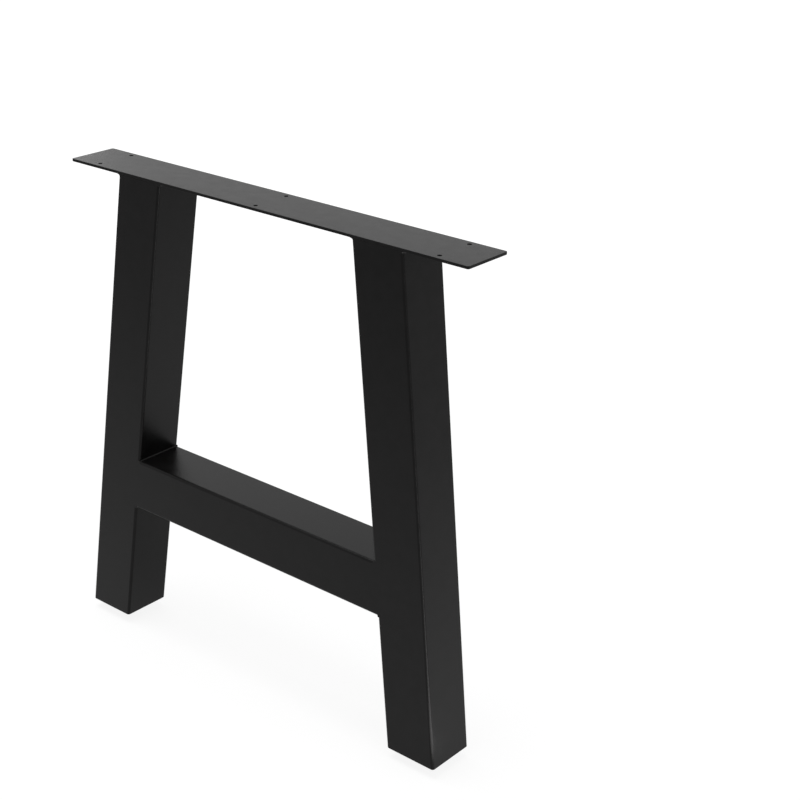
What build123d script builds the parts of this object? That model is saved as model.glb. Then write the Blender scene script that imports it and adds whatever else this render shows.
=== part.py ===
from build123d import *
from math import atan2, cos, radians, sin, tan
import os

# Table frame of square tube, with a screw-on top plate and two levelling feet.
# X runs along the top plate, Z is up, and the pads stand on the floor at Z = 0.

# Frame, measured from the cut ends of the legs to the top of the plate
frame_height = 720.0
legs_top_span = 503.0
legs_bottom_span = 684.0

# Square tube of the legs and the crossbar
tube_size = 80.0
tube_wall = 2.0
tube_corner_radius = 4.0
crossbar_clear_height = 200.0

# Top plate and its screw holes
plate_length = 700.0
plate_width = 80.0
plate_thickness = 4.0
plate_corner_radius = 3.0
plate_edge_chamfer = 0.4
screw_hole_diameter = 6.0
screw_hole_end_inset = 50.0
screw_hole_edge_inset = 10.0

# Weld beads: how far they stand out, and how thick their toe ends
top_weld_leg = 4.0
crossbar_weld_leg = 2.5
weld_toe = 0.4

# Closing plate and nut inside the lower end of each leg
foot_plate_thickness = 4.0
foot_plate_clearance = 0.1
foot_plate_hole_clearance = 0.5
nut_width = 13.0
nut_height = 6.5
nut_chamfer = 0.8

# Levelling foot: screw
thread_diameter = 8.0
thread_clearance = 0.05
screw_length = 21.0
screw_tip_chamfer = 1.0
collar_width = 10.0
collar_height = 4.0
collar_chamfer = 0.5
neck_diameter = 6.0
rivet_head_diameter = 9.6
rivet_head_height = 1.4
swivel_clearance = 0.1

# Levelling foot: pressed cup and rubber pad
cup_diameter = 43.0
cup_height = 9.8
cup_sheet = 1.2
cup_cone_angle = 35.0
cup_rim_height = 2.2
cup_rim_radius = 1.6
cup_lip_angle = 40.0
cup_curl_bands = 2
pad_flange_height = 2.0
pad_flange_ledge = 0.2
pad_spigot_height = 3.2
pad_clearance = 0.15

# Sizes and places that follow
leg_bottom = pad_flange_height + cup_height + collar_height
plate_bottom = leg_bottom + frame_height - plate_thickness
leg_rise = plate_bottom - leg_bottom
leg_splay = atan2((legs_bottom_span - legs_top_span) / 2, leg_rise)
leg_half_width = tube_size / 2 / cos(leg_splay)
foot_x = legs_bottom_span / 2 - leg_half_width
tube_bore = tube_size - 2 * tube_wall
tube_bore_radius = tube_corner_radius - tube_wall
run_out = tube_size
crossbar_middle = leg_bottom + crossbar_clear_height + tube_size / 2
screw_hole_spacing_x = plate_length / 2 - screw_hole_end_inset
screw_hole_spacing_y = plate_width - 2 * screw_hole_edge_inset
crown_top = pad_flange_height + cup_height
cup_rim_z = pad_flange_height + cup_rim_height
cup_lip_radius = (
    cup_diameter / 2
    - cup_rim_radius * (1 - sin(radians(cup_lip_angle)))
    - (cup_rim_height - cup_rim_radius * cos(radians(cup_lip_angle))) / tan(radians(cup_lip_angle))
)

sides = {"left": -1, "right": 1}
os.makedirs("parts", exist_ok=True)


def finish(part, name):
    """Label a piece and write its STEP file."""
    part.label = name
    export_step(part, f"parts/{name}.step")


def leg_plane(side):
    """Plane square to a leg's axis, through the middle of its lower end."""
    return Plane(
        origin=(side * foot_x, 0, leg_bottom),
        x_dir=(cos(leg_splay), 0, side * sin(leg_splay)),
        z_dir=(-side * sin(leg_splay), 0, cos(leg_splay)),
    )


def leg_middle(height):
    """Distance of a leg's axis from the middle of the frame, at a height."""
    return foot_x - (height - leg_bottom) * (legs_bottom_span - legs_top_span) / 2 / leg_rise


def inner_face(side):
    """Plane on a leg's inner face: X up the leg, Z towards the middle of the frame."""
    return Plane(
        origin=(side * (leg_middle(crossbar_middle) - leg_half_width), 0, crossbar_middle),
        x_dir=(-side * sin(leg_splay), 0, cos(leg_splay)),
        z_dir=(-side * cos(leg_splay), 0, -sin(leg_splay)),
    )


def weld_section(side):
    """Upright plane through a crossbar's end: X up the leg, Y towards the middle of the frame."""
    face = inner_face(side)
    return Plane(origin=face.origin, x_dir=face.x_dir, z_dir=(0, -side, 0))


def foot_plane(side):
    """Upright plane through a foot's axis, with its origin on the floor."""
    return Plane(origin=(side * foot_x, 0, 0), x_dir=(1, 0, 0), z_dir=(0, -1, 0))


def foot_axis(side):
    """Upright axis of a foot's screw."""
    return Axis((side * foot_x, 0, 0), (0, 0, 1))


def make_leg_bulk(side):
    """Outside form of a leg, solid and longer than the leg."""
    with BuildPart() as leg_bulk:
        with BuildSketch(leg_plane(side).offset(-run_out)):
            RectangleRounded(tube_size, tube_size, tube_corner_radius)
        extrude(amount=leg_rise / cos(leg_splay) + 2 * run_out)
    return leg_bulk.part


def make_crossbar_bulk():
    """Outside form of the crossbar, solid, with its ends cut to the slope of the legs."""
    with BuildPart() as crossbar_bulk:
        with BuildSketch(Plane.YZ.offset(-foot_x)):
            with Locations((0, crossbar_middle)):
                RectangleRounded(tube_size, tube_size, tube_corner_radius)
        extrude(amount=2 * foot_x)
        for side in sides.values():
            split(bisect_by=inner_face(side), keep=Keep.TOP)
    return crossbar_bulk.part


# Top plate
with BuildPart() as top_plate:
    with BuildSketch(Plane.XY.offset(plate_bottom)):
        RectangleRounded(plate_length, plate_width, plate_corner_radius)
        with GridLocations(screw_hole_spacing_x, screw_hole_spacing_y, 3, 2):
            Circle(screw_hole_diameter / 2, mode=Mode.SUBTRACT)
    extrude(amount=plate_thickness)
    rim_edges = top_plate.faces().sort_by(Axis.Z)[-1].outer_wire().edges()
    chamfer(rim_edges, length=plate_edge_chamfer)
finish(top_plate.part, "top_plate")


# Crossbar: the same square tube as the legs, open at both ends
crossbar_bulk = make_crossbar_bulk()
with BuildPart() as crossbar_tube:
    add(crossbar_bulk)
    with BuildSketch(Plane.YZ.offset(-foot_x)):
        with Locations((0, crossbar_middle)):
            RectangleRounded(tube_bore, tube_bore, tube_bore_radius)
    extrude(amount=2 * foot_x, mode=Mode.SUBTRACT)
finish(crossbar_tube.part, "crossbar_tube")


def make_leg_tube(side):
    """Leg: hollow tube, cut level with the floor and with the plate."""
    with BuildPart() as leg_tube:
        with BuildSketch(leg_plane(side).offset(-run_out)):
            RectangleRounded(tube_size, tube_size, tube_corner_radius)
            RectangleRounded(tube_bore, tube_bore, tube_bore_radius, mode=Mode.SUBTRACT)
        extrude(amount=leg_rise / cos(leg_splay) + 2 * run_out)
        split(bisect_by=Plane.XY.offset(leg_bottom), keep=Keep.TOP)
        split(bisect_by=Plane.XY.offset(plate_bottom), keep=Keep.BOTTOM)
    return leg_tube.part


def make_top_weld(side, leg_bulk):
    """Fillet weld under the plate, along the two sides of a leg that the plate overhangs."""
    toe_level = plate_bottom - top_weld_leg
    upper_middle = side * leg_middle(plate_bottom)
    lower_middle = side * leg_middle(toe_level)
    with BuildPart() as top_weld:
        with BuildSketch(Plane.XZ):
            with BuildLine():
                Polyline(
                    (upper_middle - leg_half_width - top_weld_leg, plate_bottom),
                    (upper_middle + leg_half_width + top_weld_leg, plate_bottom),
                    (lower_middle + leg_half_width + weld_toe, toe_level),
                    (lower_middle - leg_half_width - weld_toe, toe_level),
                    close=True,
                )
            make_face()
        extrude(amount=tube_size / 2, both=True)
        add(leg_bulk, mode=Mode.SUBTRACT)
    return top_weld.part


def make_crossbar_weld(side, leg_bulk, crossbar_bulk):
    """Weld round one end of the crossbar: fillets above and below, ground flush at front and back."""
    half_height = tube_size / 2 / cos(leg_splay)
    climb = crossbar_weld_leg * tan(leg_splay)
    with BuildPart() as crossbar_weld:
        with BuildSketch(weld_section(side)):
            with BuildLine():
                Polyline(
                    (-half_height - weld_toe, -tube_corner_radius),
                    (half_height + weld_toe, -tube_corner_radius),
                    (half_height + weld_toe, 0),
                    (half_height + crossbar_weld_leg, 0),
                    (half_height + weld_toe + climb, crossbar_weld_leg),
                    (-half_height - weld_toe + climb, crossbar_weld_leg),
                    (-half_height - crossbar_weld_leg, 0),
                    (-half_height - weld_toe, 0),
                    close=True,
                )
            make_face()
        extrude(amount=tube_size / 2, both=True)
        add(leg_bulk, mode=Mode.SUBTRACT)
        add(crossbar_bulk, mode=Mode.SUBTRACT)
    return crossbar_weld.part


def make_foot_plate(side):
    """Closing plate in the lower end of a leg, flush with the cut, with a hole for the screw."""
    with BuildPart() as foot_plate:
        with BuildSketch(leg_plane(side).offset(-run_out)):
            plate_side = tube_bore - 2 * foot_plate_clearance
            RectangleRounded(plate_side, plate_side, tube_bore_radius)
        extrude(amount=2 * run_out)
        split(bisect_by=Plane.XY.offset(leg_bottom), keep=Keep.TOP)
        split(bisect_by=Plane.XY.offset(leg_bottom + foot_plate_thickness), keep=Keep.BOTTOM)
        with Locations((side * foot_x, 0, leg_bottom + foot_plate_thickness)):
            Hole(thread_diameter / 2 + foot_plate_hole_clearance)
    return foot_plate.part


def make_weld_nut(side):
    """Hexagon nut on the closing plate, inside the leg."""
    with BuildPart() as weld_nut:
        with BuildSketch(Plane.XY.offset(leg_bottom + foot_plate_thickness)):
            with Locations((side * foot_x, 0)):
                RegularPolygon(nut_width / 2, 6, major_radius=False)
                Circle(thread_diameter / 2 + thread_clearance, mode=Mode.SUBTRACT)
        extrude(amount=nut_height)
        chamfer(weld_nut.faces().sort_by(Axis.Z)[-1].outer_wire().edges(), length=nut_chamfer)
    return weld_nut.part


def make_foot_screw(side):
    """Screw of a foot: thread, hexagon collar, neck through the cup and riveted end, in one piece."""
    with BuildPart() as foot_screw:
        with BuildSketch(Plane.XY.offset(crown_top)):
            with Locations((side * foot_x, 0)):
                RegularPolygon(collar_width / 2, 6, major_radius=False)
        extrude(amount=collar_height)
        chamfer(foot_screw.edges().group_by(Axis.Z)[0], length=collar_chamfer)
        chamfer(foot_screw.edges().group_by(Axis.Z)[-1], length=collar_chamfer)
        with BuildSketch(Plane.XY.offset(leg_bottom)):
            with Locations((side * foot_x, 0)):
                Circle(thread_diameter / 2)
        extrude(amount=screw_length)
        chamfer(foot_screw.faces().sort_by(Axis.Z)[-1].edges(), length=screw_tip_chamfer)
        rivet_top = crown_top - cup_sheet - swivel_clearance
        with BuildSketch(Plane.XY.offset(crown_top)):
            with Locations((side * foot_x, 0)):
                Circle(neck_diameter / 2)
        extrude(amount=rivet_top - crown_top)
        with BuildSketch(Plane.XY.offset(rivet_top)):
            with Locations((side * foot_x, 0)):
                Circle(rivet_head_diameter / 2)
        extrude(amount=-rivet_head_height)
    return foot_screw.part


def make_foot_cup(side):
    """Cup of a foot: one pressed sheet, domed to a flat crown and curled under at the rim."""
    curl = []
    for band in range(cup_curl_bands + 1):
        turned = radians(90 - cup_cone_angle - band * (180 - cup_cone_angle - cup_lip_angle) / cup_curl_bands)
        curl.append(
            (
                cup_diameter / 2 - cup_rim_radius * (1 - cos(turned)),
                cup_rim_z + cup_rim_radius * sin(turned),
            )
        )
    crown_radius = curl[0][0] - (crown_top - curl[0][1]) / tan(radians(cup_cone_angle))
    with BuildPart() as foot_cup:
        with BuildSketch(foot_plane(side)):
            with BuildLine():
                Polyline(
                    (neck_diameter / 2 + swivel_clearance, crown_top),
                    (crown_radius, crown_top),
                    *curl,
                    (cup_lip_radius, pad_flange_height),
                )
                offset(amount=-cup_sheet, side=Side.RIGHT, kind=Kind.INTERSECTION)
            make_face()
        revolve(axis=foot_axis(side))
    return foot_cup.part


def make_foot_pad(side):
    """Rubber pad under a cup: a flange that carries the cup's lip, and a spigot inside it."""
    with BuildPart() as foot_pad:
        with BuildSketch(Plane.XY):
            with Locations((side * foot_x, 0)):
                Circle(cup_lip_radius + pad_flange_ledge)
        extrude(amount=pad_flange_height)
        with BuildSketch(Plane.XY.offset(pad_flange_height)):
            with Locations((side * foot_x, 0)):
                Circle(cup_lip_radius - cup_sheet - pad_clearance)
        extrude(amount=pad_spigot_height)
    return foot_pad.part


for name, side in sides.items():
    leg_bulk = make_leg_bulk(side)
    finish(make_leg_tube(side), f"{name}_leg_tube")
    finish(make_top_weld(side, leg_bulk), f"{name}_top_weld")
    finish(make_crossbar_weld(side, leg_bulk, crossbar_bulk), f"{name}_crossbar_weld")
    finish(make_foot_plate(side), f"{name}_foot_plate")
    finish(make_weld_nut(side), f"{name}_weld_nut")
    finish(make_foot_screw(side), f"{name}_foot_screw")
    finish(make_foot_cup(side), f"{name}_foot_cup")
    finish(make_foot_pad(side), f"{name}_foot_pad")
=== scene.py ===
import logging
import math
from collections.abc import Iterable
from dataclasses import dataclass
from enum import Enum

import bmesh
import bpy
from bmesh.types import BMEdge, BMFace, BMVert
from bpy.types import Material, Node, NodeSocket, NodeTree, Object
from mathutils import Matrix, Vector


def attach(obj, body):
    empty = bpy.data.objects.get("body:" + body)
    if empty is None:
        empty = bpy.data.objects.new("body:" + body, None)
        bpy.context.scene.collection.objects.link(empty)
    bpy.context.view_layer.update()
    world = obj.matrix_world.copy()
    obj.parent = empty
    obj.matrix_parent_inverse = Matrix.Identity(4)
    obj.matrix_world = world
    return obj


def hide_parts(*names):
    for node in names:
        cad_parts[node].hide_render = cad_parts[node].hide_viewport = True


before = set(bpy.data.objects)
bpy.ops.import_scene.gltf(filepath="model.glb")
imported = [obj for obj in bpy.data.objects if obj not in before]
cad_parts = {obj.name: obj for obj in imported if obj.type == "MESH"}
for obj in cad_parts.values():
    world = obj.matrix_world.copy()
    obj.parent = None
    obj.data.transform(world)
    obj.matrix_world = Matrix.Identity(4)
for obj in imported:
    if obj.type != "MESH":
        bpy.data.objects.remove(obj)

log = logging.getLogger("table_frame")

# Metres in a millimetre, the gap below which points are one, and the hold of large faces on the shading
MM = 0.001
SAME_POINT = 1e-7
FACE_WEIGHT = 100

Pair = tuple[float, float]
Place = tuple[float, float, float]
Colour = tuple[float, float, float]
Value = float | NodeSocket


class Side(Enum):
    """The two legs, named as they stand from the front."""

    LEFT = -1
    RIGHT = 1

    @property
    def label(self) -> str:
        """Name of the side as the nodes and bodies spell it."""
        return self.name.lower()


class Slot(Enum):
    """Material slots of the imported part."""

    COAT = "black_powder_coat"
    SCREW = "plated_screw"
    CUP = "nickel_cup"
    PAD = "rubber_pad"


# Mesh tools


def unique(items: Iterable) -> list:
    """Each item once, in the order in which it first comes."""
    return list(dict.fromkeys(items))


def quarter_turn(steps: int) -> list[float]:
    """Angles from 0 to a quarter turn in equal steps, in radians."""
    return [math.pi / 2 * step / steps for step in range(steps + 1)]


class Form:
    """A mesh under construction, with the operations that several pieces share."""

    def __init__(self) -> None:
        """Start with an empty mesh."""
        self.bm = bmesh.new()

    def everything(self) -> list[BMVert | BMEdge | BMFace]:
        """All points, edges and faces."""
        return self.bm.verts[:] + self.bm.edges[:] + self.bm.faces[:]

    def rounded_rectangle(self, length: float, width: float, radius: float, segments: int) -> BMFace:
        """Draw a rectangle with round corners about the origin, in the XY plane.

        Args:
            length: Size along X.
            width: Size along Y.
            radius: Corner radius.
            segments: Steps in each corner.

        Returns:
            The face.
        """
        made = bmesh.ops.create_circle(self.bm, cap_ends=True, segments=4, radius=1 / math.sqrt(2))
        bmesh.ops.rotate(self.bm, verts=made["verts"], matrix=Matrix.Rotation(math.pi / 4, 3, "Z"))
        bmesh.ops.scale(self.bm, verts=made["verts"], vec=(length, width, 1))
        bmesh.ops.bevel(
            self.bm, geom=made["verts"], offset=radius, offset_type="OFFSET", segments=segments,
            profile=0.5, affect="VERTICES", material=-1,
        )
        return next(iter(self.bm.faces))

    def drop(self, faces: list[BMFace]) -> None:
        """Delete faces and keep their edges."""
        bmesh.ops.delete(self.bm, geom=faces, context="FACES_ONLY")

    def hollow(self, face: BMFace, wall: float) -> list[BMFace]:
        """Turn a flat face into a ring.

        Args:
            face: The outline.
            wall: Width of the ring.

        Returns:
            The ring's faces.
        """
        ring = bmesh.ops.inset_region(
            self.bm, faces=[face], thickness=wall, use_even_offset=True, use_boundary=True
        )["faces"]
        self.drop([face])
        return ring

    def with_edges(self, faces: list[BMFace]) -> list[BMFace | BMEdge]:
        """Faces and their edges, which an extrusion needs so as to leave no face inside."""
        return faces + unique(e for f in faces for e in f.edges)

    def push(self, faces: list[BMFace], move: Vector) -> list[BMFace]:
        """Extrude faces along a straight line.

        Args:
            faces: Faces to extrude.
            move: Direction and distance.

        Returns:
            The faces at the far end.
        """
        made = bmesh.ops.extrude_face_region(self.bm, geom=self.with_edges(faces))["geom"]
        far = [g for g in made if isinstance(g, BMFace)]
        self.shift(far, move)
        return far

    def shift(self, parts: list[BMFace | BMEdge], move: Vector) -> None:
        """Move the points of some faces or edges.

        Args:
            parts: The faces or edges.
            move: Direction and distance.
        """
        bmesh.ops.translate(self.bm, verts=unique(v for p in parts for v in p.verts), vec=move)

    def scale(self, parts: list[BMFace | BMEdge], share: Place, middle: Vector) -> None:
        """Scale the points of some faces or edges.

        Args:
            parts: The faces or edges.
            share: New size along X, Y and Z, as shares of the old one.
            middle: Point that stays in place.
        """
        verts = unique(v for p in parts for v in p.verts)
        bmesh.ops.scale(self.bm, verts=verts, vec=share, space=Matrix.Translation(-middle))

    def move(self, matrix: Matrix) -> None:
        """Move the whole mesh by a matrix."""
        bmesh.ops.transform(self.bm, matrix=matrix, verts=self.bm.verts[:])

    def weld(self, gap: float) -> None:
        """Weld the points that are nearer to each other than a gap."""
        bmesh.ops.remove_doubles(self.bm, verts=self.bm.verts[:], dist=gap)

    def cut(self, point: Vector, normal: Vector) -> list[BMEdge]:
        """Take away what lies past a plane.

        Args:
            point: A point of the plane.
            normal: Points to the side that is taken away.

        Returns:
            The edges of the cut.
        """
        made = bmesh.ops.bisect_plane(
            self.bm, geom=self.everything(), dist=SAME_POINT, plane_co=point, plane_no=normal,
            clear_outer=True,
        )["geom_cut"]
        return [g for g in made if isinstance(g, BMEdge)]

    def cut_tube(self, point: Vector, normal: Vector) -> None:
        """Cut a hollow tube and close the ring of the cut."""
        bmesh.ops.bridge_loops(self.bm, edges=self.cut(point, normal))

    def cut_solid(self, point: Vector, normal: Vector) -> None:
        """Cut a solid form and close the cut."""
        bmesh.ops.holes_fill(self.bm, edges=self.cut(point, normal), sides=0)

    def soften(self, offset: float, least_angle: float, segments: int) -> None:
        """Round the sharp edges.

        Args:
            offset: How far the rounding reaches from the edge.
            least_angle: Edges that turn by more than this are rounded, in degrees.
            segments: Steps of the rounding.
        """
        self.bm.normal_update()
        edges = [
            e for e in self.bm.edges
            if len(e.link_faces) == 2 and e.calc_face_angle(0) > math.radians(least_angle)
        ]
        bmesh.ops.bevel(
            self.bm, geom=edges, offset=offset, offset_type="OFFSET", segments=segments,
            profile=0.5, affect="EDGES", clamp_overlap=True, material=-1,
        )

    def mirror(self, axis: str, gap: float = 1e-6) -> None:
        """Add the mirror image of the mesh, and weld it where it meets.

        Args:
            axis: X, Y or Z, the direction that is turned round.
            gap: Points nearer than this are welded.
        """
        bmesh.ops.mirror(self.bm, geom=self.everything(), axis=axis, merge_dist=gap)
        self.weld(gap)

    def add(self, other: "Form") -> None:
        """Take in another form, and free it.

        Args:
            other: The form.
        """
        bmesh.ops.recalc_face_normals(other.bm, faces=other.bm.faces[:])
        mesh = bpy.data.meshes.new("joined")
        other.bm.to_mesh(mesh)
        other.bm.free()
        self.bm.from_mesh(mesh)
        bpy.data.meshes.remove(mesh)

    def place(self, name: str, finish: Material) -> Object:
        """Put the mesh in the scene and free it here.

        Args:
            name: Name of the object and of its mesh.
            finish: Its material.

        Returns:
            The object.
        """
        mesh = bpy.data.meshes.new(name)
        self.bm.to_mesh(mesh)
        self.bm.free()
        mesh.materials.append(finish)
        thing = bpy.data.objects.new(name, mesh)
        bpy.context.scene.collection.objects.link(thing)
        return thing

    def piece(
        self, name: str, body: str, slot: Slot, finish: Material, stands_for: str, smooth_below: float = 32.0
    ) -> None:
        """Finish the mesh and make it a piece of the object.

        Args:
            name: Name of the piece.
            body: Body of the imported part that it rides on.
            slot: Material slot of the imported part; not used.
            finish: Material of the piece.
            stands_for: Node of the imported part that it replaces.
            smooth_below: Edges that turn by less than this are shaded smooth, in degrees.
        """
        bmesh.ops.recalc_face_normals(self.bm, faces=self.bm.faces[:])
        self.bm.normal_update()
        for face in self.bm.faces:
            face.smooth = True
        for edge in self.bm.edges:
            edge.smooth = len(edge.link_faces) == 2 and edge.calc_face_angle(0) < math.radians(smooth_below)
        thing = self.place(name, finish)
        shading = thing.modifiers.new("even_shading", "WEIGHTED_NORMAL")
        shading.keep_sharp = True
        shading.weight = FACE_WEIGHT
        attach(thing, body)
        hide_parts(stands_for)
        log.info("%s: %d faces on %s", name, len(thing.data.polygons), body)


class Turning:
    """A profile drawn in the XZ plane and turned round the Z axis."""

    def __init__(self, start: Pair) -> None:
        """Start the profile.

        Args:
            start: Radius and height of its first point.
        """
        self.form = Form()
        self.first = self.form.bm.verts.new((start[0], 0.0, start[1]))
        self.last = self.first

    def line(self, radius: float, height: float) -> None:
        """Draw a straight line to a radius and height."""
        self.last = bmesh.ops.extrude_vert_indiv(self.form.bm, verts=[self.last])["verts"][0]
        self.last.co = (radius, 0.0, height)

    def arc(self, centre: Pair, degrees: float, steps: int) -> None:
        """Draw an arc from the last point.

        Args:
            centre: Radius and height of the arc's middle.
            degrees: Angle that it covers, positive from the height axis towards the radius axis.
            steps: Straight pieces in it.
        """
        made = bmesh.ops.spin(
            self.form.bm, geom=[self.last], cent=(centre[0], 0.0, centre[1]), axis=(0.0, 1.0, 0.0),
            angle=math.radians(degrees), steps=steps, use_merge=False,
        )["geom_last"]
        self.last = next(g for g in made if isinstance(g, BMVert))

    def close(self) -> None:
        """Draw a line back to the first point."""
        self.form.bm.edges.new((self.last, self.first))

    def turn(self, steps: int) -> Form:
        """Turn the profile all the way round Z.

        Args:
            steps: Steps of the full turn.

        Returns:
            The turned form.
        """
        bmesh.ops.spin(
            self.form.bm, geom=self.form.everything(), cent=(0.0, 0.0, 0.0), axis=(0.0, 0.0, 1.0),
            angle=2 * math.pi, steps=steps, use_merge=True,
        )
        self.form.weld(SAME_POINT)
        return self.form


# Node tools


class Nodes:
    """Short ways to place and join the nodes of one tree."""

    def __init__(self, tree: NodeTree) -> None:
        """Keep the tree."""
        self.tree = tree

    def add(self, kind: str, **settings: object) -> Node:
        """Place a node.

        Args:
            kind: Type of the node.
            settings: Its settings, by name.

        Returns:
            The node.
        """
        node = self.tree.nodes.new(kind)
        for key, value in settings.items():
            setattr(node, key, value)
        return node

    def join(self, source: NodeSocket, target: NodeSocket) -> None:
        """Join two sockets."""
        self.tree.links.new(source, target)

    def feed(self, target: NodeSocket, value: Value) -> None:
        """Set an input to a number, or join a socket to it.

        Args:
            target: The input.
            value: The number or the socket.
        """
        if isinstance(value, NodeSocket):
            self.join(value, target)
        else:
            target.default_value = value

    def maths(self, operation: str, *values: Value) -> NodeSocket:
        """Place a maths node.

        Args:
            operation: What it works out.
            values: What it works on.

        Returns:
            Its result.
        """
        node = self.add("ShaderNodeMath", operation=operation)
        for target, value in zip(node.inputs, values):
            self.feed(target, value)
        return node.outputs[0]

    def spread(self, source: NodeSocket, reach: Pair, to: Pair = (0.0, 1.0)) -> NodeSocket:
        """Map a value smoothly from one range to another.

        Args:
            source: The value.
            reach: Start and end of its range.
            to: Start and end of the new range.

        Returns:
            The mapped value.
        """
        node = self.add("ShaderNodeMapRange", interpolation_type="SMOOTHSTEP")
        self.join(source, node.inputs["Value"])
        for label, value in zip(("From Min", "From Max", "To Min", "To Max"), (*reach, *to)):
            node.inputs[label].default_value = value
        return node.outputs["Result"]

    def blend(self, mask: NodeSocket, first: Colour, second: Colour) -> NodeSocket:
        """Blend two colours by a mask.

        Args:
            mask: 0 for the first colour and 1 for the second.
            first: The first colour.
            second: The second colour.

        Returns:
            The blended colour.
        """
        node = self.add("ShaderNodeMix", data_type="RGBA")
        self.join(mask, node.inputs["Factor"])
        node.inputs["A"].default_value = (*first, 1.0)
        node.inputs["B"].default_value = (*second, 1.0)
        return node.outputs["Result"]

    def background_rays(self) -> NodeSocket:
        """Tell which rays see the background: those of the eye, of reflections and through glass.

        Returns:
            A mask that is 1 for them.
        """
        path = self.add("ShaderNodeLightPath").outputs
        seen = self.maths("MAXIMUM", path["Is Camera Ray"], path["Is Glossy Ray"])
        return self.maths("MAXIMUM", seen, path["Is Transmission Ray"])

    def distance(self, where: NodeSocket, middle: Place) -> NodeSocket:
        """Measure the distance from a point.

        Args:
            where: Coordinates.
            middle: The point.

        Returns:
            The distance.
        """
        node = self.add("ShaderNodeVectorMath", operation="DISTANCE")
        self.join(where, node.inputs[0])
        node.inputs[1].default_value = middle
        return node.outputs["Value"]

    def split(self, where: NodeSocket) -> list[NodeSocket]:
        """Split coordinates into X, Y and Z.

        Args:
            where: The coordinates.

        Returns:
            The three values.
        """
        node = self.add("ShaderNodeSeparateXYZ")
        self.join(where, node.inputs[0])
        return list(node.outputs)

    def noise(self, where: NodeSocket, scale: Value, detail: float) -> NodeSocket:
        """Place a noise texture.

        Args:
            where: Coordinates.
            scale: Waves to the metre.
            detail: Octaves.

        Returns:
            Its value.
        """
        node = self.add("ShaderNodeTexNoise")
        self.join(where, node.inputs["Vector"])
        self.feed(node.inputs["Scale"], scale)
        node.inputs["Detail"].default_value = detail
        return node.outputs["Fac"]

    def group(self, tree: NodeTree, where: NodeSocket, **values: float) -> dict[str, NodeSocket]:
        """Place a node group and set its inputs.

        Args:
            tree: The group.
            where: Coordinates for its Vector input.
            values: Its other inputs, by name.

        Returns:
            Its outputs, by name.
        """
        node = self.add("ShaderNodeGroup", node_tree=tree)
        self.join(where, node.inputs["Vector"])
        for label, value in values.items():
            node.inputs[label].default_value = value
        return {socket.name: socket for socket in node.outputs}


@dataclass
class SurfaceGroups:
    """The effects that the finishes share, each a node group.

    Attributes:
        wide_share: Scale of the wider grain, as a share of the fine grain's.
        weight: Height that each grain gives, as a share of its noise.
        mark_stretch: Distance in the noise for a radian round the axis, small so that marks run round.
    """

    wide_share: float = 0.35
    weight: float = 0.4
    mark_stretch: float = 0.0002

    def __post_init__(self) -> None:
        """Make both groups."""
        self.grain = self.make_grain()
        self.lathe = self.make_lathe()

    def start(self, name: str, inputs: tuple[str, ...], outputs: tuple[str, ...]) -> Nodes:
        """Make an empty group with a Vector input.

        Args:
            name: Name of the group.
            inputs: Names of its number inputs.
            outputs: Names of its number outputs.

        Returns:
            The group's node tools.
        """
        tree = bpy.data.node_groups.new(name, "ShaderNodeTree")
        tree.interface.new_socket("Vector", in_out="INPUT", socket_type="NodeSocketVector")
        for label in inputs:
            tree.interface.new_socket(label, in_out="INPUT", socket_type="NodeSocketFloat")
        for label in outputs:
            tree.interface.new_socket(label, in_out="OUTPUT", socket_type="NodeSocketFloat")
        return Nodes(tree)

    def make_grain(self) -> NodeTree:
        """Fine grain over a wider one, and a slow mottle.

        Returns:
            A group with the inputs Grain and Mottle and the outputs Height and Mottle.
        """
        nodes = self.start("surface_grain", ("Grain", "Mottle"), ("Height", "Mottle"))
        source = nodes.add("NodeGroupInput").outputs
        target = nodes.add("NodeGroupOutput").inputs
        fine = nodes.noise(source["Vector"], source["Grain"], detail=3.0)
        wide_scale = nodes.maths("MULTIPLY", source["Grain"], self.wide_share)
        wide = nodes.noise(source["Vector"], wide_scale, detail=1.0)
        height = nodes.maths("MULTIPLY", nodes.maths("ADD", wide, fine), self.weight)
        nodes.join(height, target["Height"])
        nodes.join(nodes.noise(source["Vector"], source["Mottle"], detail=2.0), target["Mottle"])
        return nodes.tree

    def make_lathe(self) -> NodeTree:
        """Marks that run round the Z axis, as turning and polishing leave them.

        Returns:
            A group with the input Rings and the output Height.
        """
        nodes = self.start("turning_marks", ("Rings",), ("Height",))
        source = nodes.add("NodeGroupInput").outputs
        target = nodes.add("NodeGroupOutput").inputs
        x, y, z = nodes.split(source["Vector"])
        squares = nodes.maths("ADD", nodes.maths("POWER", x, 2.0), nodes.maths("POWER", y, 2.0))
        turned = nodes.maths("MULTIPLY", nodes.maths("ARCTAN2", y, x), self.mark_stretch)
        along = nodes.add("ShaderNodeCombineXYZ")
        for value, socket in zip((nodes.maths("SQRT", squares), turned, z), along.inputs):
            nodes.join(value, socket)
        nodes.join(nodes.noise(along.outputs[0], source["Rings"], detail=3.0), target["Height"])
        return nodes.tree


# Finishes


class Paint(Nodes):
    """The nodes of one material, with its surface shader and its coordinates."""

    def __init__(self, name: str, middle: Vector) -> None:
        """Start the material.

        Args:
            name: Its name.
            middle: Point that its coordinates are measured from.
        """
        self.material = bpy.data.materials.new(name)
        self.material.use_nodes = True
        super().__init__(self.material.node_tree)
        self.surface = self.tree.nodes["Principled BSDF"].inputs
        place = self.add("ShaderNodeMapping")
        place.inputs["Location"].default_value = -middle
        self.join(self.add("ShaderNodeTexCoord").outputs["Object"], place.inputs["Vector"])
        self.where = place.outputs["Vector"]


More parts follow.
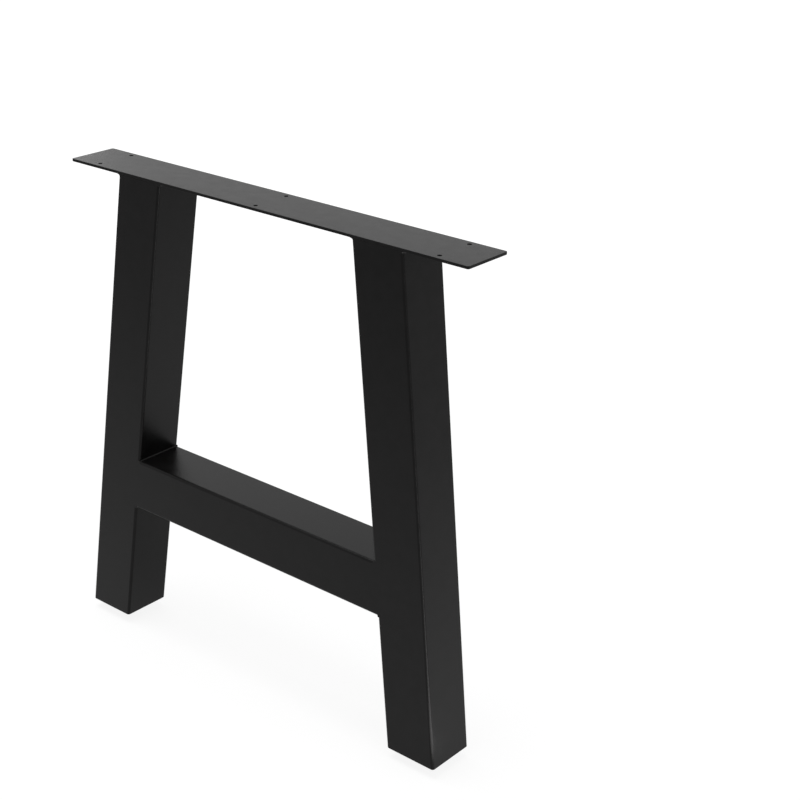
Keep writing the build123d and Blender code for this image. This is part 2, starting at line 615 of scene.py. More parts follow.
@dataclass(frozen=True)
class Finish:
    """What every finish has.

    Attributes:
        name: Name of the material.
        roughness: Its range.
        bump: Strength of the relief.
        bump_depth: Height of the relief.
        tones: The two colours that it changes between.
        grain: Scale of the fine grain, in waves to the metre.
        mottle: Scale of the slow change of tone, in waves to the metre.
        metallic: 1 for bare metal.
        tone_reach: Values of the mottle between which the tone changes.
        gloss_reach: Values of a pattern between which the roughness changes.
    """

    name: str
    roughness: Pair
    bump: float
    bump_depth: float
    tones: tuple[Colour, Colour]
    grain: float
    mottle: float
    metallic: float = 0.0
    tone_reach: Pair = (0.3, 0.7)
    gloss_reach: Pair = (0.25, 0.75)

    def dress(self, paint: Paint, mottle: NodeSocket, rough: NodeSocket, height: NodeSocket) -> Material:
        """Lead the patterns into the surface shader.

        Args:
            paint: Nodes of the material.
            mottle: Pattern of the two tones.
            rough: Roughness.
            height: Height of the relief.

        Returns:
            The material.
        """
        bump = paint.add("ShaderNodeBump")
        bump.inputs["Strength"].default_value = self.bump
        bump.inputs["Distance"].default_value = self.bump_depth
        paint.join(height, bump.inputs["Height"])
        tone = paint.blend(paint.spread(mottle, self.tone_reach), *self.tones)
        paint.join(tone, paint.surface["Base Color"])
        paint.join(rough, paint.surface["Roughness"])
        paint.join(bump.outputs["Normal"], paint.surface["Normal"])
        paint.surface["Metallic"].default_value = self.metallic
        return paint.material


@dataclass(frozen=True)
class GrainedFinish(Finish):
    """Powder coat, rubber or plain steel: a fine grain, and a slow change of tone and gloss.

    Attributes:
        shine: Level of the reflection.
    """

    shine: float = 0.5

    def build(self, groups: SurfaceGroups) -> Material:
        """Make the material.

        Args:
            groups: The shared node groups.

        Returns:
            The material.
        """
        paint = Paint(self.name, Vector())
        paint.surface["Specular IOR Level"].default_value = self.shine
        grain = paint.group(groups.grain, paint.where, Grain=self.grain, Mottle=self.mottle)
        rough = paint.spread(grain["Mottle"], self.gloss_reach, self.roughness)
        return self.dress(paint, grain["Mottle"], rough, grain["Height"])


@dataclass(frozen=True)
class TurnedFinish(Finish):
    """Plated metal with marks round its axis, polished below a height.

    Attributes:
        rings: Scale of the marks, in waves to the metre.
        polished_below: Height of the polished part, from the floor.
        polish_edge: Half the height over which the polish fades.
        polished_roughness: Roughness of the polished part.
    """

    rings: float = 2600.0
    polished_below: float = -1.0
    polish_edge: float = 0.6 * MM
    polished_roughness: float = 0.07

    def build(self, groups: SurfaceGroups, side: Side, middle: Vector) -> Material:
        """Make the material for one foot.

        Args:
            groups: The shared node groups.
            side: The foot's side.
            middle: Where the foot's axis meets the floor.

        Returns:
            The material.
        """
        paint = Paint(f"{side.label}_{self.name}", middle)
        marks = paint.group(groups.lathe, paint.where, Rings=self.rings)["Height"]
        grain = paint.group(groups.grain, paint.where, Grain=self.grain, Mottle=self.mottle)
        edge = (self.polished_below - self.polish_edge, self.polished_below + self.polish_edge)
        satin = paint.spread(paint.split(paint.where)[2], edge)
        rough = paint.spread(marks, self.gloss_reach, self.roughness)
        gap = paint.maths("SUBTRACT", rough, self.polished_roughness)
        mixed = paint.maths("MULTIPLY_ADD", gap, satin, self.polished_roughness)
        return self.dress(paint, grain["Mottle"], mixed, paint.maths("MULTIPLY", marks, satin))


POWDER_COAT = GrainedFinish(
    "black_powder_coat", roughness=(0.29, 0.33), bump=0.5, bump_depth=0.28 * MM,
    tones=((0.0022, 0.0020, 0.0020), (0.0034, 0.0031, 0.0032)), grain=1800.0, mottle=60.0, shine=0.14,
)
PLAIN_STEEL = GrainedFinish(
    "plain_steel", roughness=(0.35, 0.5), bump=0.2, bump_depth=0.05 * MM,
    tones=((0.5, 0.49, 0.47), (0.38, 0.37, 0.36)), grain=2200.0, mottle=240.0, metallic=1.0,
)
BLACK_RUBBER = GrainedFinish(
    "black_rubber", roughness=(0.6, 0.8), bump=0.3, bump_depth=0.1 * MM,
    tones=((0.018, 0.018, 0.018), (0.011, 0.011, 0.011)), grain=2200.0, mottle=240.0,
)
SATIN_NICKEL = TurnedFinish(
    "satin_nickel", roughness=(0.22, 0.32), bump=0.05, bump_depth=0.01 * MM,
    tones=((0.60, 0.59, 0.57), (0.50, 0.49, 0.48)), grain=2500.0, mottle=160.0, metallic=1.0,
    polished_below=5.4 * MM,
)
BRIGHT_ZINC = TurnedFinish(
    "bright_zinc", roughness=(0.16, 0.3), bump=0.1, bump_depth=0.02 * MM,
    tones=((0.70, 0.70, 0.69), (0.60, 0.60, 0.60)), grain=2500.0, mottle=160.0, metallic=1.0,
    rings=1400.0,
)


# Welded frame


@dataclass(frozen=True)
class WeldBead:
    """A fillet bead in the corner between two faces, laid across a tube and round its edges.

    Attributes:
        root: Corner that it fills, at Y = 0.
        down: Direction of the face that it runs down.
        out: Direction of the face that it reaches out on.
        size: Leg length.
        under: How much deeper it goes under the face that it runs down than under the other one.
        bend: Middle of the tube's rounded edge, at the end of the straight run.
        axis: Axis that it bends round, from +Y to the side of the tube.
        flush: Distance from the middle at which it is cut flush with the tube.
        depth: How deep it goes under both faces.
        hollow: Where the waist of its face lies on the way out from the root, as a share of the size.
        face_steps: Steps across its face.
        bend_steps: Steps round the tube's edge.
        step: Length of a step of its run.
        ripple: Height of a ripple as a share of the size, and its angle in a step.
        drift: How far the ripples shift, and the angle of that in a step.
        swell: Height of the slow swell as a share of the size, and its angle in a step.
    """

    root: Vector
    down: Vector
    out: Vector
    size: float
    under: float
    bend: Vector
    axis: Vector
    flush: float
    depth: float = 0.6 * MM
    hollow: float = 0.02
    face_steps: int = 8
    bend_steps: int = 10
    step: float = 0.45 * MM
    ripple: Pair = (0.035, 1.25)
    drift: Pair = (1.1, 0.13)
    swell: Pair = (0.02, 0.31)

    def outline(self) -> list[Vector]:
        """Draw the section at Y = 0: the hollow face from toe to toe, then back under both faces.

        Returns:
            Its points, in order.
        """
        low = self.root + self.down * self.size
        far = self.root + self.out * self.size
        waist = self.root + (self.down + self.out) * self.size * self.hollow
        shares = [step / self.face_steps for step in range(self.face_steps + 1)]
        face = [low * (1 - t) ** 2 + waist * 2 * t * (1 - t) + far * t ** 2 for t in shares]
        inwards = self.out * (self.under + self.depth)
        upwards = self.down * self.depth
        return [*face, far - upwards, self.root - inwards - upwards, low - inwards]

    def width(self, step: int) -> float:
        """Work out how wide the ripples make the bead.

        Args:
            step: Step of its run.

        Returns:
            Its width there, as a share of its size.
        """
        shifted = self.drift[0] * math.sin(step * self.drift[1])
        ripple = self.ripple[0] * math.sin(step * self.ripple[1] + shifted)
        return 1 + ripple + self.swell[0] * math.sin(step * self.swell[1])

    def lay(self) -> Form:
        """Lay half of the bead along +Y, bend it round the tube's edge, cut it flush and mirror it.

        Returns:
            The whole bead.
        """
        form = Form()
        start = form.bm.faces.new([form.bm.verts.new(p) for p in self.outline()])
        run = self.bend.y
        steps = round(run / self.step)
        end = [start]
        last = 1.0
        for step in range(steps):
            end = form.push(end, Vector((0, run / steps, 0)))
            wider = self.width(step) / last
            form.scale(end, (wider, 1, wider), self.root + Vector((0, run * (step + 1) / steps, 0)))
            last = self.width(step)
        bmesh.ops.spin(
            form.bm, geom=form.with_edges(end), cent=self.bend, axis=self.axis, angle=math.pi / 2,
            steps=self.bend_steps, use_merge=False,
        )
        form.drop([start])
        form.cut_solid(Vector((0, self.flush, 0)), Vector((0, 1, 0)))
        form.mirror("Y")
        return form


@dataclass
class TubeFrame:
    """The welded part: two sloping legs, the crossbar between them, and the screw-on plate."""

    coat: Material
    leg_bottom: float = 15.8 * MM
    plate_bottom: float = 731.8 * MM
    plate_thickness: float = 4.0 * MM
    plate_length: float = 700.0 * MM
    plate_width: float = 80.0 * MM
    plate_corner: float = 3.0 * MM
    plate_corner_steps: int = 6
    plate_rim: float = 0.5 * MM
    plate_rim_steps: int = 4
    hole_diameter: float = 6.0 * MM
    hole_segments: int = 32
    hole_rim: float = 0.3 * MM
    hole_rim_steps: int = 3
    hole_spacing: Pair = (300.0 * MM, 60.0 * MM)
    legs_top_span: float = 503.0 * MM
    legs_bottom_span: float = 684.0 * MM
    tube: float = 80.0 * MM
    wall: float = 2.0 * MM
    corner: float = 4.0 * MM
    corner_steps: int = 10
    cut_softness: float = 0.35 * MM
    cut_least_angle: float = 60.0
    cut_steps: int = 2
    bar_clear_height: float = 200.0 * MM
    top_bead: float = 4.0 * MM
    bar_bead: float = 2.5 * MM
    bead_smooth_below: float = 50.0

    @property
    def rise(self) -> float:
        """Height of a leg."""
        return self.plate_bottom - self.leg_bottom

    @property
    def splay(self) -> float:
        """Angle of a leg from upright, in radians."""
        return math.atan2((self.legs_bottom_span - self.legs_top_span) / 2, self.rise)

    @property
    def half_width(self) -> float:
        """Half the width of a leg, measured level."""
        return self.tube / 2 / math.cos(self.splay)

    @property
    def foot_x(self) -> float:
        """Distance of a leg's lower end from the middle."""
        return self.legs_bottom_span / 2 - self.half_width

    @property
    def bar_middle(self) -> float:
        """Height of the crossbar's axis."""
        return self.leg_bottom + self.bar_clear_height + self.tube / 2

    def leg_x(self, height: float) -> float:
        """Distance of a leg's axis from the middle, at a height."""
        return self.foot_x - (height - self.leg_bottom) * math.tan(self.splay)

    def make_tube(self, length: float) -> Form:
        """Make a length of the square tube, straight up from the origin.

        Args:
            length: Its length.

        Returns:
            The tube, open at both ends.
        """
        form = Form()
        outline = form.rounded_rectangle(self.tube, self.tube, self.corner, self.corner_steps)
        form.push(form.hollow(outline, self.wall), Vector((0, 0, length)))
        return form

    def make_leg(self, side: Side) -> None:
        """Make one leg: a hollow tube, cut level at both ends.

        Args:
            side: Which leg.
        """
        spare = self.tube
        form = self.make_tube(self.rise / math.cos(self.splay) + 2 * spare)
        form.move(
            Matrix.Translation((side.value * self.foot_x, 0, self.leg_bottom))
            @ Matrix.Rotation(-side.value * self.splay, 4, "Y")
            @ Matrix.Translation((0, 0, -spare))
        )
        form.cut_tube(Vector((0, 0, self.leg_bottom)), Vector((0, 0, -1)))
        form.cut_tube(Vector((0, 0, self.plate_bottom)), Vector((0, 0, 1)))
        form.soften(self.cut_softness, self.cut_least_angle, self.cut_steps)
        form.piece(f"{side.label}_leg", "frame", Slot.COAT, self.coat, f"{side.label}_leg_tube")

    def make_bar(self) -> None:
        """Make the crossbar, let into the round of the legs' inner edges, which the weld fills."""
        form = self.make_tube(2 * self.foot_x)
        lying = Matrix.Rotation(math.pi / 2, 4, "Y")
        form.move(Matrix.Translation((-self.foot_x, 0, self.bar_middle)) @ lying)
        reach = self.leg_x(self.bar_middle) - self.half_width + self.corner
        for side in Side:
            out = Vector((side.value * math.cos(self.splay), 0, math.sin(self.splay)))
            form.cut_tube(Vector((side.value * reach, 0, self.bar_middle)), out)
        form.piece("crossbar", "frame", Slot.COAT, self.coat, "crossbar_tube")

    def make_top_weld(self, side: Side) -> None:
        """Make the two beads that hold a leg to the plate.

        Args:
            side: Which leg.
        """
        form = Form()
        down = Vector((side.value * math.sin(self.splay), 0, -math.cos(self.splay)))
        for way in (-1, 1):
            x = side.value * self.leg_x(self.plate_bottom) + way * self.half_width
            bead = WeldBead(
                root=Vector((x, 0, self.plate_bottom)), down=down, out=Vector((way, 0, 0)),
                size=self.top_bead, under=0.0,
                bend=Vector((x - way * self.corner, self.tube / 2 - self.corner, self.plate_bottom)),
                axis=Vector((0, 0, way)), flush=self.tube / 2,
            )
            form.add(bead.lay())
        name, node = f"{side.label}_top_beads", f"{side.label}_top_weld"
        form.piece(name, "frame", Slot.COAT, self.coat, node, self.bead_smooth_below)

    def make_bar_weld(self, side: Side) -> None:
        """Make the beads above and below one end of the crossbar.

        Args:
            side: Which end.
        """
        form = Form()
        up = Vector((-side.value * math.sin(self.splay), 0, math.cos(self.splay)))
        for way in (-1, 1):
            level = self.bar_middle + way * self.tube / 2
            x = side.value * (self.leg_x(level) - self.half_width)
            bead = WeldBead(
                root=Vector((x, 0, level)), down=up * way, out=Vector((-side.value, 0, 0)),
                size=self.bar_bead, under=self.corner,
                bend=Vector((x, self.tube / 2 - self.corner, level - way * self.corner)),
                axis=Vector((-way, 0, 0)), flush=self.tube / 2,
            )
            form.add(bead.lay())
        name, node = f"{side.label}_bar_beads", f"{side.label}_crossbar_weld"
        form.piece(name, "frame", Slot.COAT, self.coat, node, self.bead_smooth_below)

    def make_plate(self) -> None:
        """Make the screw-on plate: the upper half with its rolled rims, then its mirror image."""
        form = Form()
        half = self.plate_thickness / 2
        base = form.rounded_rectangle(
            self.plate_length, self.plate_width, self.plate_corner, self.plate_corner_steps
        )
        top = form.push([base], Vector((0, 0, half - self.plate_rim)))
        form.drop([base])
        angles = quarter_turn(self.plate_rim_steps)
        for low, high in zip(angles, angles[1:]):
            bmesh.ops.inset_region(
                form.bm, faces=top, thickness=self.plate_rim * (math.cos(low) - math.cos(high)), depth=0.0,
                use_even_offset=True, use_boundary=True,
            )
            form.shift(top, Vector((0, 0, self.plate_rim * (math.sin(high) - math.sin(low)))))
        rim = [e for f in top for e in f.edges]
        form.drop(top)
        for column in (-1, 0, 1):
            for row in (-1, 1):
                centre = Vector((column * self.hole_spacing[0], row * self.hole_spacing[1] / 2, 0))
                rim += self.raise_hole(form, centre, half)
        bmesh.ops.triangle_fill(form.bm, use_beauty=True, use_dissolve=False, edges=rim, normal=(0, 0, 1))
        form.mirror("Z")
        form.move(Matrix.Translation((0, 0, self.plate_bottom + half)))
        form.piece("plate", "frame", Slot.COAT, self.coat, "top_plate")

    def raise_hole(self, form: Form, centre: Vector, half: float) -> list[BMEdge]:
        """Raise a screw hole's wall from the plate's mid plane to its upper face.

        Args:
            form: The plate, which takes the wall.
            centre: Middle of the hole, on the mid plane.
            half: Height of the upper face above the mid plane.

        Returns:
            The edges of the hole's rim on the upper face.
        """
        radius = self.hole_diameter / 2
        level = 0.0
        made = bmesh.ops.create_circle(
            form.bm, cap_ends=False, segments=self.hole_segments, radius=radius,
            matrix=Matrix.Translation(centre),
        )
        edges = unique(e for v in made["verts"] for e in v.link_edges)
        for angle in quarter_turn(self.hole_rim_steps):
            made = bmesh.ops.extrude_edge_only(form.bm, edges=edges)["geom"]
            edges = [g for g in made if isinstance(g, BMEdge)]
            wider = self.hole_diameter / 2 + self.hole_rim * (1 - math.cos(angle))
            higher = half - self.hole_rim * (1 - math.sin(angle))
            form.scale(edges, (wider / radius, wider / radius, 1), centre)
            form.shift(edges, Vector((0, 0, higher - level)))
            radius, level = wider, higher
        return edges

    def build(self) -> None:
        """Make all pieces of the frame."""
        self.make_plate()
        self.make_bar()
        for side in Side:
            self.make_leg(side)
            self.make_top_weld(side)
            self.make_bar_weld(side)


# Levelling feet


@dataclass
class LevellingFoot:
    """One foot: pressed cup, rubber pad and threaded screw.

    Heights are above the floor, and angles are in degrees.

    Attributes:
        crown_top: Height of the cup's flat top.
        cone: Slope of the cup's side from level.
        shoulder: Radius between the crown and the cone.
        tuck: How far the rim's curl ends before straight down.
        lip_inset: How far the end of the curled sheet is ground inwards.
        dish_radius: Radius of the hollow under the pad, at its floor and at its mouth.
        groove_places: Inner radius of each ring cut under the pad.
        thread_depth: Depth of the thread, as a share of the pitch.
        thread_shares: Where the points of its profile lie, as shares of the pitch.
        thread_crest: How much lower the edges of the crest are than its middle.
        thread_seam: Points of neighbouring turns nearer than this are welded.
        thread_let_in: How deep the shank stands in the collar.
        spare_turns: Turns of thread cut away below the collar's top and above the tip.
    """

    side: Side
    foot_x: float
    crown_top: float = 11.8 * MM
    cup_radius: float = 21.5 * MM
    sheet: float = 1.2 * MM
    cone: float = 35.0
    shoulder: float = 6.0 * MM
    rim_radius: float = 1.6 * MM
    rim_height: float = 4.2 * MM
    tuck: float = 40.0
    lip_radius: float = 19.77 * MM
    lip_inset: float = 0.1 * MM
    lip_round: float = 0.25 * MM
    lip_gap: float = 0.01 * MM
    hole_radius: float = 3.1 * MM
    hole_softness: float = 0.2 * MM
    pad_radius: float = 19.97 * MM
    pad_top: float = 2.0 * MM
    pad_edge: float = 0.7 * MM
    pad_softness: float = 0.25 * MM
    dish_radius: Pair = (4.0 * MM, 4.5 * MM)
    groove_depth: float = 0.5 * MM
    groove_places: Place = (8.0 * MM, 12.0 * MM, 16.0 * MM)
    groove_width: float = 1.25 * MM
    groove_slope: float = 0.25 * MM
    spigot_radius: float = 18.42 * MM
    spigot_top: float = 5.2 * MM
    collar_flats: float = 10.0 * MM
    collar_top: float = 15.8 * MM
    collar_softness: float = 0.3 * MM
    collar_least_angle: float = 40.0
    screw_tip: float = 36.8 * MM
    thread_diameter: float = 8.0 * MM
    thread_pitch: float = 1.25 * MM
    thread_depth: float = 0.61
    thread_shares: tuple[float, ...] = (0.22, 0.53, 0.57, 0.65, 0.69, 1.0)
    thread_crest: float = 0.03 * MM
    thread_steps: int = 36
    thread_seam: float = 0.002 * MM
    thread_let_in: float = 0.3 * MM
    spare_turns: tuple[int, int] = (2, 1)
    tip_chamfer: float = 1.0 * MM
    neck_radius: float = 3.0 * MM
    neck_let_in: float = 0.5 * MM
    rivet_radius: float = 4.8 * MM
    rivet_top: float = 10.5 * MM
    rivet_height: float = 1.4 * MM
    rivet_round: float = 1.0 * MM

    @property
    def middle(self) -> Vector:
        """Where the foot's axis meets the floor."""
        return Vector((self.side.value * self.foot_x, 0, 0))

    def on_ray(self, centre: Pair, distance: float, angle: float) -> Pair:
        """Radius and height of a point at a distance from a centre, at an angle from the height axis."""
        return centre[0] + distance * math.sin(angle), centre[1] + distance * math.cos(angle)

    def fit(self, form: Form, piece: str, body: str, slot: Slot, finish: Material, stands_for: str) -> None:
        """Move a form to the foot's place and make it a piece.

        Args:
            form: The form, made round the Z axis.
            piece: Name of the piece, without its side.
            body: Body that it rides on, without its side.
            slot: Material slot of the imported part.
            finish: Its material.
            stands_for: Node that it replaces, without its side.
        """
        form.move(Matrix.Translation(self.middle))
        label = self.side.label
        form.piece(f"{label}_{piece}", f"{label}_{body}", slot, finish, f"{label}_{stands_for}")

    def make_cup(self, finish: Material) -> None:
        """Make the cup: a flat crown, a round shoulder, a cone and a rim curled under.

        Args:
            finish: Its material.
        """
        slope = math.radians(self.cone)
        tuck = math.radians(self.tuck)
        curl = 180.0 - self.cone - self.tuck
        rim = (self.cup_radius - self.rim_radius, self.rim_height)
        foot = self.on_ray(rim, self.rim_radius, slope)
        crown_radius = foot[0] - (self.crown_top - foot[1]) / math.tan(slope)
        shoulder = (crown_radius - self.shoulder * math.tan(slope / 2), self.crown_top - self.shoulder)
        lip_inside = self.lip_radius - self.sheet * math.sin(tuck) - self.lip_inset
        path = Turning((self.hole_radius + self.hole_softness, self.crown_top))
        path.line(shoulder[0], self.crown_top)
        path.arc(shoulder, self.cone, steps=8)
        path.line(*foot)
        path.arc(rim, curl, steps=18)
        path.line(self.lip_radius + self.lip_round, self.pad_top + self.lip_round)
        path.line(self.lip_radius - self.lip_inset, self.pad_top + self.lip_gap)
        path.line(lip_inside, self.pad_top + 2 * self.lip_gap)
        path.line(*self.on_ray(rim, self.rim_radius - self.sheet, math.pi - tuck))
        path.arc(rim, -curl, steps=8)
        path.line(*self.on_ray(shoulder, self.shoulder - self.sheet, slope))
        path.arc(shoulder, -self.cone, steps=6)
        path.line(self.hole_radius, self.crown_top - self.sheet)
        path.line(self.hole_radius, self.crown_top - self.hole_softness)
        path.close()
        self.fit(path.turn(steps=128), "cup", "foot_base", Slot.CUP, finish, "foot_cup")

    def make_pad(self, finish: Material) -> None:
        """Make the pad: a flange with a round edge and rings underneath, and a spigot in the cup.

        Args:
            finish: Its material.
        """
        path = Turning((0.0, self.groove_depth))
        path.line(self.dish_radius[0], self.groove_depth)
        path.line(self.dish_radius[1], 0.0)
        for start in self.groove_places:
            path.line(start, 0.0)
            path.line(start + self.groove_slope, self.groove_depth)
            path.line(start + self.groove_width - self.groove_slope, self.groove_depth)
            path.line(start + self.groove_width, 0.0)
        path.line(self.pad_radius - self.pad_edge, 0.0)
        path.arc((self.pad_radius - self.pad_edge, self.pad_edge), -90.0, steps=6)
        path.line(self.pad_radius, self.pad_top - self.pad_softness)
        path.arc((self.pad_radius - self.pad_softness, self.pad_top - self.pad_softness), -90.0, steps=3)
        path.line(self.spigot_radius, self.pad_top)
        path.line(self.spigot_radius, self.spigot_top - self.pad_edge)
        path.arc((self.spigot_radius - self.pad_edge, self.spigot_top - self.pad_edge), -90.0, steps=4)
        path.line(0.0, self.spigot_top)
        self.fit(path.turn(steps=96), "pad", "foot_base", Slot.PAD, finish, "foot_pad")

    def cut_thread(self) -> Form:
        """Make the threaded shank: one pitch of profile, wound up the axis and pointed at the tip.

        Returns:
            The shank.
        """
        pitch = self.thread_pitch
        crest = self.thread_diameter / 2
        flank = crest - self.thread_crest
        root = crest - self.thread_depth * pitch
        path = Turning((root, 0.0))
        for radius, share in zip((root, flank, crest, crest, flank, root), self.thread_shares):
            path.line(radius, share * pitch)
        form = path.form
        turns = math.ceil((self.screw_tip - self.collar_top) / pitch) + sum(self.spare_turns)
        bmesh.ops.spin(
            form.bm, geom=form.everything(), cent=(0, 0, 0), axis=(0, 0, 1),
            dvec=(0, 0, pitch / self.thread_steps), angle=2 * math.pi * turns,
            steps=turns * self.thread_steps, use_merge=False,
        )
        form.weld(self.thread_seam)
        form.move(Matrix.Translation((0, 0, self.collar_top - self.spare_turns[0] * pitch)))
        form.cut_solid(Vector((0, 0, self.collar_top - self.thread_let_in)), Vector((0, 0, -1)))
        form.cut_solid(Vector((0, 0, self.screw_tip)), Vector((0, 0, 1)))
        for vert in form.bm.verts:
            limit = crest - max(0.0, vert.co.z - (self.screw_tip - self.tip_chamfer))
            radius = vert.co.to_2d().length
            if radius > limit:
                vert.co.x *= limit / radius
                vert.co.y *= limit / radius
        return form

    def make_collar(self) -> Form:
        """Make the hexagon collar.

        Returns:
            The collar.
        """
        form = Form()
        bmesh.ops.create_circle(
            form.bm, cap_ends=True, segments=6, radius=self.collar_flats / 2 / math.cos(math.pi / 6),
            matrix=Matrix.Translation((0, 0, self.crown_top)) @ Matrix.Rotation(math.pi / 6, 4, "Z"),
        )
        form.push(form.bm.faces[:], Vector((0, 0, self.collar_top - self.crown_top)))
        form.soften(self.collar_softness, self.collar_least_angle, segments=3)
        return form

    def make_neck(self) -> Form:
        """Make the neck, which stands in the cup's hole, with its riveted end.

        Returns:
            The neck.
        """
        rivet_side = self.rivet_top - (self.rivet_height - self.rivet_round)
        path = Turning((0.0, self.crown_top + self.neck_let_in))
        path.line(self.neck_radius, self.crown_top + self.neck_let_in)
        path.line(self.neck_radius, self.rivet_top)
        path.line(self.rivet_radius, self.rivet_top)
        path.line(self.rivet_radius, rivet_side)
        path.arc((self.rivet_radius - self.rivet_round, rivet_side), 90.0, steps=6)
        path.line(0.0, self.rivet_top - self.rivet_height)
        return path.turn(steps=48)

    def make_screw(self, finish: Material) -> None:
        """Make the screw: threaded shank, hexagon collar, neck and riveted end.

        Args:
            finish: Its material.
        """
        form = self.cut_thread()
        form.add(self.make_collar())
        form.add(self.make_neck())
        self.fit(form, "screw_piece", "screw", Slot.SCREW, finish, "foot_screw")


# Stage


@dataclass(frozen=True)
class PhotoCamera:
    """The camera, as solved from the photograph's edges. Its yaw and pitch are in degrees."""

    place: Place = (1.41343, -1.55374, 1.35021)
    yaw: float = 42.3127
    pitch: float = 24.9530
    roll: float = 0.0077
    lens: float = 73.9299
    sensor: float = 36.0
    shift: Pair = (0.16431, 0.06326)
    clip: Pair = (0.05, 60.0)

    def build(self) -> None:
        """Make the camera and set it as the scene's."""
        yaw, pitch = math.radians(self.yaw), math.radians(self.pitch)
        ahead = Vector((-math.sin(yaw) * math.cos(pitch), math.cos(yaw) * math.cos(pitch), -math.sin(pitch)))
        level = Vector((math.cos(yaw), math.sin(yaw), 0))
        upright = level.cross(ahead)
        right = math.cos(self.roll) * level + math.sin(self.roll) * upright
        up = math.cos(self.roll) * upright - math.sin(self.roll) * level
        data = bpy.data.cameras.new("photo_camera")
        data.lens = self.lens
        data.sensor_width = self.sensor
        data.sensor_fit = "HORIZONTAL"
        data.shift_x, data.shift_y = self.shift
        data.clip_start, data.clip_end = self.clip
        camera = bpy.data.objects.new("photo_camera", data)
        turn = Matrix((right, up, -ahead)).transposed().to_4x4()
        camera.matrix_world = Matrix.Translation(self.place) @ turn
        bpy.context.scene.collection.objects.link(camera)
        bpy.context.scene.camera = camera


@dataclass(frozen=True)
class Lamp:
    """A rectangular lamp that shines at a point and isn't seen itself. Its power is in watts."""

    name: str
    place: Place
    size: Pair
    power: float
    aim: Place = (0.0, 0.0, 0.4)

    def turn(self) -> Matrix:
        """Turn that points it at its aim."""
        ahead = Vector(self.aim) - Vector(self.place)
        return ahead.to_track_quat("-Z", "Y").to_matrix().to_4x4()

    def build(self) -> None:
        """Make the lamp."""
        data = bpy.data.lights.new(self.name, "AREA")
        data.shape = "RECTANGLE"
        data.size, data.size_y = self.size
        data.energy = self.power
        lamp = bpy.data.objects.new(self.name, data)
        lamp.matrix_world = Matrix.Translation(self.place) @ self.turn()
        lamp.visible_camera = False
        bpy.context.scene.collection.objects.link(lamp)


@dataclass(frozen=True)
class FloorStrip(Lamp):
    """A lamp that lies on the floor and shines up, at a heading in degrees, for a line on upright edges."""

    heading: float = 0.0

    def turn(self) -> Matrix:
        """Turn that lays it on its back, with its length along its heading."""
        return Matrix.Rotation(math.radians(self.heading), 4, "Z") @ Matrix.Rotation(math.pi, 4, "X")


LAMPS = (
    Lamp("top_softbox", place=(-0.3, -0.3, 2.8), size=(1.6, 1.6), power=48.0),
    Lamp("right_softbox", place=(3.0, 0.6, 1.6), size=(1.6, 1.6), power=16.0),
    Lamp("back_softbox", place=(-2.9, 1.6, 1.5), size=(0.8, 0.8), power=5.0),
    FloorStrip("floor_strip", place=(1.383, -0.231, 0.01), size=(2.0, 0.2), power=7.0, heading=-10.0),
)


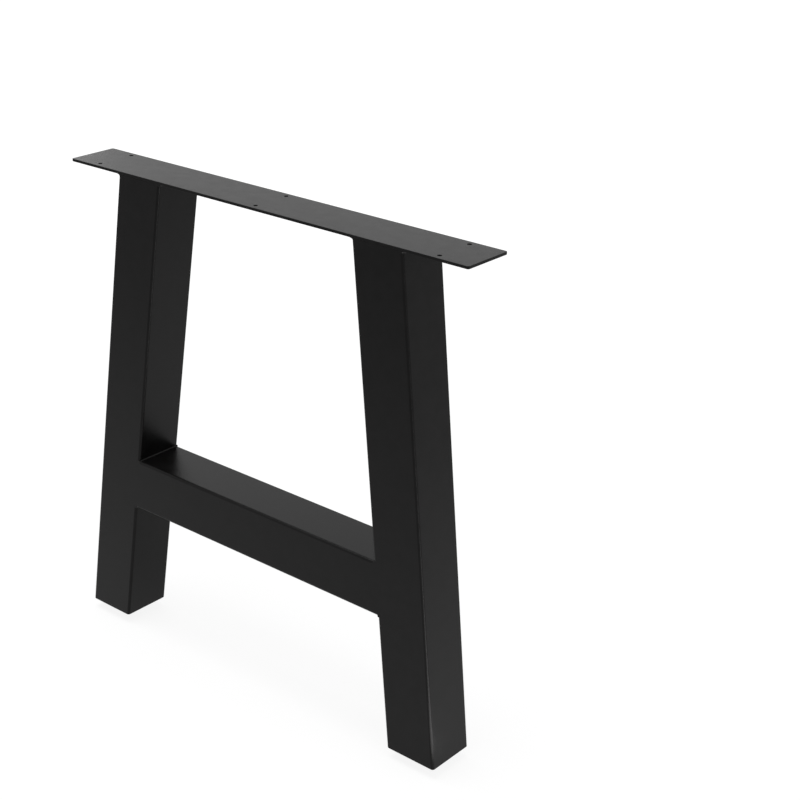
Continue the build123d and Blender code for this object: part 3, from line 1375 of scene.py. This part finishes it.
@dataclass(frozen=True)
class Studio:
    """White surroundings, and a pale floor that keeps the shadow.

    Attributes:
        white_share: How much the floor shows plain white, near the object and far from it.
        white_level: Brightness of that white.
        far_glow: Brightness of the far floor in reflections, where the painted pool of light round the
            object has faded out.
        pool: Distances over which both change.
        shade_middle: Middle of a painted shadow of the frame on the floor behind the crossbar, which only
            reflections show.
        shade_reach: Distances from there over which the painted shadow fades.
        shade_depth: How much darker the painted shadow is in the middle.
        ambient: Strength of the world's light on the object.
    """

    floor_size: float = 40.0
    floor_level: float = -0.1 * MM
    floor_shade: Colour = (0.8, 0.8, 0.8)
    white_share: Pair = (0.8, 1.0)
    white_level: float = 1.1
    far_glow: float = 0.6
    pool: Pair = (0.2, 2.6)
    shade_middle: Place = (-0.12, 0.2, 0.0)
    shade_reach: Pair = (0.1, 0.35)
    shade_depth: float = 0.36
    ambient: float = 0.35

    def make_floor_paint(self) -> Material:
        """Make the floor's material: white, and in reflections a painted pool of light that fades away from
        the object and a painted shadow behind the crossbar.

        Returns:
            The material.
        """
        material = bpy.data.materials.new("white_floor")
        material.use_nodes = True
        nodes = Nodes(material.node_tree)
        material.node_tree.nodes.remove(material.node_tree.nodes["Principled BSDF"])
        glossy = nodes.add("ShaderNodeLightPath").outputs["Is Glossy Ray"]
        where = nodes.add("ShaderNodeTexCoord").outputs["Object"]
        away = nodes.distance(where, (0.0, 0.0, 0.0))
        behind = nodes.distance(where, self.shade_middle)
        # Painted pool of light: reflections see the floor dimmer the farther it lies from the object.
        far = nodes.spread(away, self.pool, (0.0, self.white_level - self.far_glow))
        # Painted shadow of the frame on the floor behind the crossbar, seen only in reflections.
        near = nodes.spread(behind, self.shade_reach, (self.shade_depth, 0.0))
        painted_reflection_shade = nodes.maths("MULTIPLY", nodes.maths("ADD", far, near), glossy)
        paint = nodes.add("ShaderNodeBsdfDiffuse")
        paint.inputs["Color"].default_value = (*self.floor_shade, 1.0)
        white = nodes.add("ShaderNodeEmission")
        nodes.join(nodes.maths("SUBTRACT", self.white_level, painted_reflection_shade), white.inputs["Strength"])
        mix = nodes.add("ShaderNodeMixShader")
        share = nodes.spread(away, self.pool, self.white_share)
        nodes.join(nodes.maths("MULTIPLY", nodes.background_rays(), share), mix.inputs["Fac"])
        nodes.join(paint.outputs[0], mix.inputs[1])
        nodes.join(white.outputs[0], mix.inputs[2])
        nodes.join(mix.outputs[0], material.node_tree.nodes["Material Output"].inputs["Surface"])
        return material

    def make_floor(self) -> None:
        """Make the floor."""
        form = Form()
        bmesh.ops.create_grid(form.bm, x_segments=1, y_segments=1, size=self.floor_size / 2)
        form.move(Matrix.Translation((0, 0, self.floor_level)))
        form.place("floor", self.make_floor_paint())

    def make_world(self) -> None:
        """Make the world: white to the eye and in reflections, and a soft light elsewhere."""
        world = bpy.data.worlds.new("white_room")
        bpy.context.scene.world = world
        world.use_nodes = True
        nodes = Nodes(world.node_tree)
        back = world.node_tree.nodes["Background"]
        back.inputs["Color"].default_value = (1.0, 1.0, 1.0, 1.0)
        strength = nodes.maths("MULTIPLY_ADD", nodes.background_rays(), 1.0 - self.ambient, self.ambient)
        nodes.join(strength, back.inputs["Strength"])

    def build(self) -> None:
        """Make the floor, the world and the lamps."""
        self.make_floor()
        self.make_world()
        for lamp in LAMPS:
            lamp.build()
        bpy.context.scene.view_settings.view_transform = "Standard"


def refinish(node: str, finish: Material) -> None:
    """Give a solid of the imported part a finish, and leave its shape as it is.

    Args:
        node: Name of the solid.
        finish: Its new material.
    """
    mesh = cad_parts[node].data
    mesh.materials.clear()
    mesh.materials.append(finish)
    log.info("%s: solid kept, new finish", node)


def main() -> None:
    """Build the scene."""
    logging.basicConfig(level=logging.INFO, format="%(message)s")
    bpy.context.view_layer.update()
    PhotoCamera().build()
    Studio().build()
    groups = SurfaceGroups()
    coat, steel, rubber = (finish.build(groups) for finish in (POWDER_COAT, PLAIN_STEEL, BLACK_RUBBER))
    tubes = TubeFrame(coat)
    tubes.build()
    for side in Side:
        foot = LevellingFoot(side, tubes.foot_x)
        foot.make_cup(SATIN_NICKEL.build(groups, side, foot.middle))
        foot.make_pad(rubber)
        foot.make_screw(BRIGHT_ZINC.build(groups, side, foot.middle))
        refinish(f"{side.label}_foot_plate", coat)
        refinish(f"{side.label}_weld_nut", steel)


if __name__ == "__main__":
    main()
